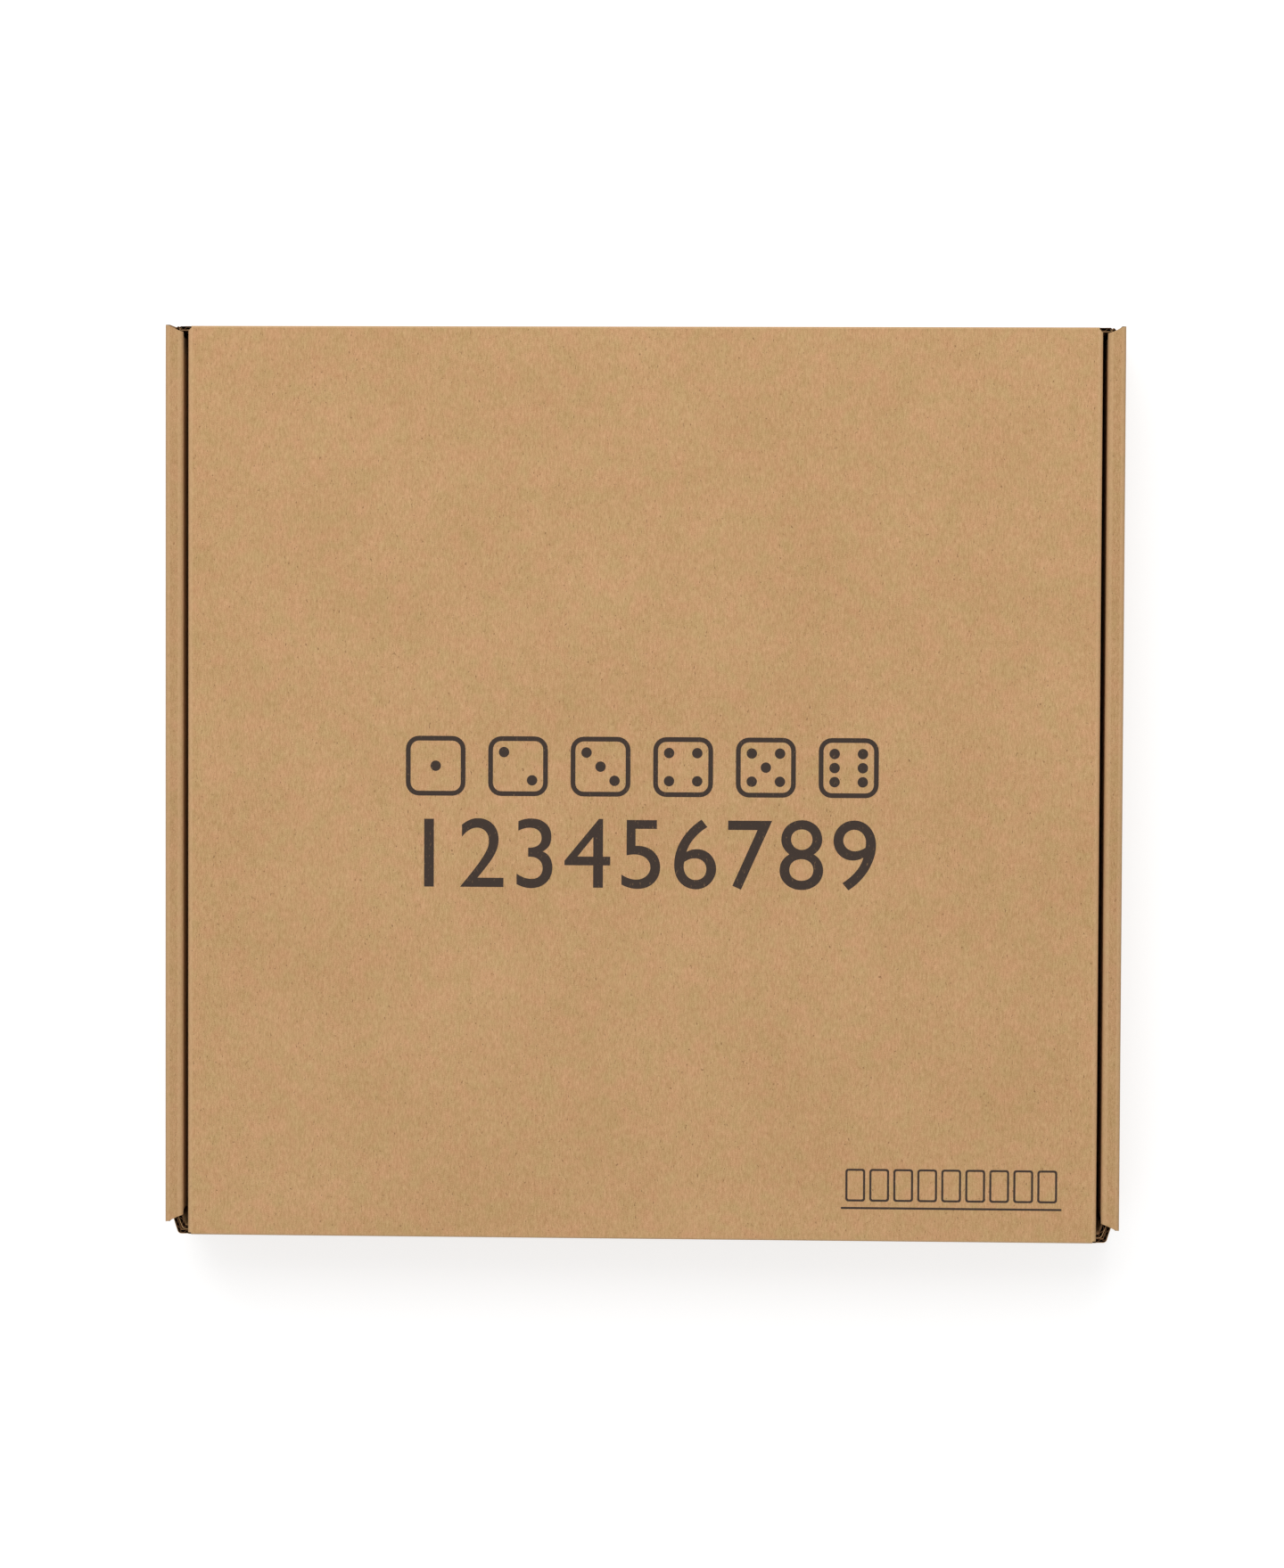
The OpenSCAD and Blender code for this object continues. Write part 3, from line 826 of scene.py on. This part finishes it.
def pips(count):
    """The middles of a die face's pips, in steps from the face's middle."""
    corners = [(x, y) for x in (-1, 1) for y in (-1, 1)]
    return {1: [(0, 0)], 2: [(-1, 1), (1, -1)], 3: [(-1, 1), (0, 0), (1, -1)], 4: corners,
            5: [(0, 0)] + corners, 6: [(x, y) for x in (-1, 1) for y in (-1, 0, 1)]}[count]


def print_on_lid(name, drawings):
    """Ink on the lid's top: drawings are (flat curve, x, y)."""
    depth = INK_SINK + INK_PROUD
    middle_z = lid_high.z + INK_PROUD - depth / 2
    plates = [plate(curve, depth, Matrix.Translation((x, y, middle_z)), LID_INK)
              for curve, x, y in drawings]
    piece = new_piece(name, joined(name, plates))
    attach(piece, "lid")


def die_face(count):
    """A die's face: a rounded square in line, with filled pips."""
    hollow = DICE_SIDE - 2 * DICE_LINE
    dots = [ring(x * DICE_PIP_STEP, y * DICE_PIP_STEP, DICE_PIP) for x, y in pips(count)]
    return outline([rounded_box(DICE_SIDE, DICE_SIDE, DICE_ROUND),
                    rounded_box(hollow, hollow, DICE_ROUND - DICE_LINE), *dots])


def rack_tile():
    """A tile of the rack: an empty upright box in line."""
    wide, tall = RACK_TILE_WIDTH - 2 * RACK_LINE, RACK_TILE_HEIGHT - 2 * RACK_LINE
    return outline([rounded_box(RACK_TILE_WIDTH, RACK_TILE_HEIGHT, RACK_TILE_ROUND),
                    rounded_box(wide, tall, RACK_HOLLOW_ROUND)])


def in_row(n, row, pitch):
    """How far the piece numbered n of a row is from the row's middle."""
    return (n - (row[0] + row[-1]) / 2) * pitch


print_on_lid("lid_print_dice", [(die_face(n), in_row(n, DICE_FACES, DICE_PITCH), DICE_Y)
                                for n in DICE_FACES])
print_on_lid("lid_print_numbers", [(numeral(n, NUMBER_HEIGHT), in_row(n, NUMBERS, NUMBER_PITCH), NUMBERS_Y)
                                   for n in NUMBERS])
rack_shelf = outline([rounded_box(RACK_SHELF_LENGTH, RACK_LINE, RACK_LINE / 3)])
print_on_lid("lid_print_rack", [(rack_tile(), RACK_X + in_row(n, NUMBERS, RACK_PITCH), RACK_Y)
                                for n in NUMBERS] + [(rack_shelf, RACK_X, RACK_Y - RACK_SHELF_DROP)])

# ---------------------------------------------------------------------------------------------
# Tray: a floor board in four mitred rails, with a block in each corner for the rods' ends.
# Oiled hardwood, its grain along each piece.
# ---------------------------------------------------------------------------------------------
BAND_STRETCH = 16
PORE_STRETCH = 26
RAIL_PALE, RAIL_DEEP = srgb(196, 148, 98), srgb(158, 108, 64)


def wood(name, along, pale, deep, roughness, tone=None):
    """Wood with its grain along one axis: bands, pores and a satin finish.

    tone, if given, is (axis, pitch, first edge): pieces side by side along that axis differ a little.
    """
    material, make, join = new_material(name)
    bands = pattern(make, join, 3.4 * MM, [BAND_STRETCH if axis == along else 1 for axis in "xyz"],
                    detail=4, roughness=0.6)
    pores = pattern(make, join, 0.45 * MM, [PORE_STRETCH if axis == along else 1 for axis in "xyz"],
                    detail=2, shift=0.4)
    colour = ramp(make, join, bands, [(0.34, pale), (0.66, deep)])
    dark = ramp(make, join, pores, [(0.34, (0.72, 0.68, 0.62, 1)), (0.5, grey(1))])
    colour = blend_colour(make, join, "MULTIPLY", 0.7, colour, dark)
    if tone:
        axis, pitch, first_edge = tone
        shifted = make.new("ShaderNodeMapping")
        shifted.inputs["Location"].default_value = [-first_edge if a == axis else 0 for a in "xyz"]
        join(make.new("ShaderNodeTexCoord").outputs["Object"], shifted.inputs["Vector"])
        piece_number = make.new("ShaderNodeVectorMath")
        piece_number.operation = "SNAP"
        piece_number.inputs[1].default_value = [pitch if a == axis else 1 for a in "xyz"]
        join(shifted.outputs[0], piece_number.inputs[0])
        chance = make.new("ShaderNodeTexWhiteNoise")
        join(piece_number.outputs[0], chance.inputs["Vector"])
        level = ramp(make, join, chance.outputs["Value"],
                     [(0, (0.86, 0.83, 0.79, 1)), (1, (1.06, 1.05, 1.03, 1))])
        colour = blend_colour(make, join, "MULTIPLY", 1.0, colour, level)
    shader = surface(make, join, colour, roughness, specular=0.4)
    roughen(make, join, shader, pores, strength=0.2, depth=0.04 * MM)
    return material


def finish_node(name, material):
    """A CAD solid that stays as it is gets its material."""
    mesh = nodes[name].data
    mesh.materials.clear()
    mesh.materials.append(material)


finish_node("tray_floor", wood("floor_wood", "x", srgb(204, 162, 112), srgb(176, 130, 84), roughness=0.5))
for name, along in (("front_rail", "x"), ("back_rail", "x"), ("left_rail", "y"), ("right_rail", "y")):
    finish_node(name, wood(name + "_wood", along, RAIL_PALE, RAIL_DEEP, roughness=0.42))
finish_node("corner_blocks", wood("block_wood", "y", RAIL_PALE, RAIL_DEEP, roughness=0.45))

# ---------------------------------------------------------------------------------------------
# Tiles: nine on each side, maple, each on its side's steel rod, with a painted number that reads
# from that side. They lie flat and flip back against the rail.
# ---------------------------------------------------------------------------------------------
DIGIT_HEIGHT = 12 * MM
DIGIT_SINK = 0.05 * MM
DIGIT_PROUD = 0.03 * MM
TILE_ROUGHNESS = 0.4
NUMBER_TURNS = {"right": 90, "back": 180, "left": 270, "front": 0}
MAPLE_PALE, MAPLE_DEEP = srgb(231, 199, 152), srgb(212, 173, 122)


def paint(name, colour, roughness):
    """Plain paint with a faint unevenness."""
    material, make, join = new_material(name)
    mottle = ramp(make, join, pattern(make, join, 1.5 * MM, detail=3),
                  [(0.3, grey(0.85)), (0.7, grey(1.1))])
    surface(make, join, blend_colour(make, join, "MULTIPLY", 1.0, colour, mottle), roughness)
    return material


NUMBER_PAINT = paint("number_paint", srgb(40, 33, 30), roughness=0.5)
first_low, first_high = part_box("tile_right_1")
tile_pitch = abs(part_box("tile_right_2")[0].y - first_low.y)
half_gap = (tile_pitch - (first_high.y - first_low.y)) / 2
x_tiles = wood("tile_wood_x", "x", MAPLE_PALE, MAPLE_DEEP, TILE_ROUGHNESS,
               ("y", tile_pitch, first_low.y - half_gap))
y_tiles = wood("tile_wood_y", "y", MAPLE_PALE, MAPLE_DEEP, TILE_ROUGHNESS,
               ("x", tile_pitch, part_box("tile_front_1")[0].x - half_gap))
depth = DIGIT_SINK + DIGIT_PROUD
for side, turn in NUMBER_TURNS.items():
    for n in NUMBERS:
        tile = f"tile_{side}_{n}"
        finish_node(tile, x_tiles if side in ("left", "right") else y_tiles)
        low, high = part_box(tile)
        spot = Vector(((low.x + high.x) / 2, (low.y + high.y) / 2, high.z + DIGIT_PROUD - depth / 2))
        placed = Matrix.Translation(spot) @ Matrix.Rotation(math.radians(turn), 4, "Z")
        digit = plate(numeral(n, DIGIT_HEIGHT), depth, placed, NUMBER_PAINT)
        piece = new_piece(f"digit_{side}_{n}", joined(f"digit_{side}_{n}", [digit]))
        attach(piece, tile)

# ---------------------------------------------------------------------------------------------
# Felt: one square of wool felt laid on the floor board between the racks.
# Its top is a little uneven and its cut edge is soft.
# ---------------------------------------------------------------------------------------------
FELT_CELLS = 72
FELT_UNEVEN = 0.12 * MM
FELT_EDGE_DROP = 0.25

felt_low, felt_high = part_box("felt")


def felt_cloth():
    """Matted green wool: fine fibres, faint clouds and a dry sheen."""
    material, make, join = new_material("green_felt")
    fibre = ramp(make, join, pattern(make, join, 0.35 * MM, detail=4, roughness=0.75),
                 [(0.3, srgb(24, 74, 48)), (0.7, srgb(44, 108, 74))])
    cloud = ramp(make, join, pattern(make, join, 18 * MM, detail=2), [(0.3, grey(0.9)), (0.7, grey(1.08))])
    colour = blend_colour(make, join, "MULTIPLY", 1.0, fibre, cloud)
    shader = surface(make, join, colour, roughness=0.95, specular=0.1)
    shader.inputs["Sheen Weight"].default_value = 0.25
    nap = pattern(make, join, 0.3 * MM, detail=4, roughness=0.7)
    roughen(make, join, shader, nap, strength=0.5, depth=0.1 * MM)
    return material


def felt_sheet():
    """A closed grid, flat underneath, its top a little lower at random.

    Along the edge it is lower by a share of its thickness, FELT_EDGE_DROP.
    """
    waver = random.Random(9)
    size = felt_high - felt_low
    count = FELT_CELLS + 1
    tops, bottoms, faces = [], [], []
    for j in range(count):
        for i in range(count):
            x, y = felt_low.x + size.x * i / FELT_CELLS, felt_low.y + size.y * j / FELT_CELLS
            at_edge = i in (0, FELT_CELLS) or j in (0, FELT_CELLS)
            drop = waver.random() * FELT_UNEVEN + (FELT_EDGE_DROP * size.z if at_edge else 0)
            tops.append((x, y, felt_high.z - drop))
            bottoms.append((x, y, felt_low.z))
    under = count * count
    for j in range(FELT_CELLS):
        for i in range(FELT_CELLS):
            a = j * count + i
            faces.append((a, a + 1, a + count + 1, a + count))
            faces.append((under + a, under + a + count, under + a + count + 1, under + a + 1))
    edge = list(range(count)) + [j * count + FELT_CELLS for j in range(1, count)]
    edge += [FELT_CELLS * count + i for i in range(FELT_CELLS - 1, -1, -1)]
    edge += [j * count for j in range(FELT_CELLS - 1, 0, -1)]
    faces += [(b, a, under + a, under + b) for a, b in zip(edge, edge[1:] + edge[:1])]
    mesh = bpy.data.meshes.new("felt_sheet")
    mesh.from_pydata(tops + bottoms, [], faces)
    mesh.polygons.foreach_set("use_smooth", [True] * len(mesh.polygons))
    mesh.set_sharp_from_angle(angle=math.radians(SHARP_DEGREES))
    mesh.materials.append(felt_cloth())
    return mesh


felt = new_piece("felt_sheet", felt_sheet())
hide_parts("felt")
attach(felt, "root")

# ---------------------------------------------------------------------------------------------
# Rods: four lengths of drawn steel wire, faintly scratched round. The tiles turn on them, and
# their ends sit in the corner blocks.
# ---------------------------------------------------------------------------------------------


def steel():
    """Drawn steel with fine rings round the wire."""
    material, make, join = new_material("drawn_steel")
    scratch = pattern(make, join, 0.4 * MM, detail=3)
    colour = ramp(make, join, scratch, [(0.3, srgb(150, 150, 148)), (0.7, srgb(196, 196, 193))])
    shader = surface(make, join, colour, roughness=0.34)
    shader.inputs["Metallic"].default_value = 1
    join(ramp(make, join, scratch, [(0.3, grey(0.26)), (0.7, grey(0.42))]), shader.inputs["Roughness"])
    return material


finish_node("rods", steel())

# ---------------------------------------------------------------------------------------------
# Dice: two moulded dice at rest on the felt, each a cube cut by a ball, which rounds its corners.
# The pips are sunk in its sides and painted.
# ---------------------------------------------------------------------------------------------
DIE_TURNS = {"die_1": 24, "die_2": -17}
DIE_CORNER_BALL = 11 * MM
DIE_FLAT_SLACK = 0.02 * MM
DIE_BALL_SLACK = 0.25 * MM
DIE_MERGE = 0.005 * MM


def ivory_plastic():
    """Cream plastic with a gloss and a faint cloud in it."""
    material, make, join = new_material("ivory_plastic")
    cloud = ramp(make, join, pattern(make, join, 5 * MM, detail=2),
                 [(0.3, srgb(240, 233, 214)), (0.7, srgb(248, 243, 229))])
    surface(make, join, cloud, roughness=0.18)
    return material


IVORY = ivory_plastic()
PIP_PAINT = paint("pip_paint", srgb(28, 26, 26), roughness=0.35)
for die, turn in DIE_TURNS.items():
    low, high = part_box(die)
    half = (high.z - low.z) / 2
    middle = (low + high) / 2
    shape = bmesh.new()
    shape.from_mesh(nodes[die].data)
    bmesh.ops.remove_doubles(shape, verts=shape.verts, dist=DIE_MERGE)
    back = Matrix.Rotation(math.radians(-turn), 3, "Z")
    for face in shape.faces:
        face.smooth = True
        local = back @ (face.calc_center_median() - middle)
        on_side = max(abs(c) for c in local) > half - DIE_FLAT_SLACK
        on_ball = local.length > DIE_CORNER_BALL - DIE_BALL_SLACK
        face.material_index = 0 if on_side or on_ball else 1
    mesh = bpy.data.meshes.new(die + "_moulded")
    shape.to_mesh(mesh)
    shape.free()
    mesh.set_sharp_from_angle(angle=math.radians(SHARP_DEGREES))
    mesh.materials.append(IVORY)
    mesh.materials.append(PIP_PAINT)
    piece = new_piece(die + "_moulded", mesh)
    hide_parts(die)
    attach(piece, "root")
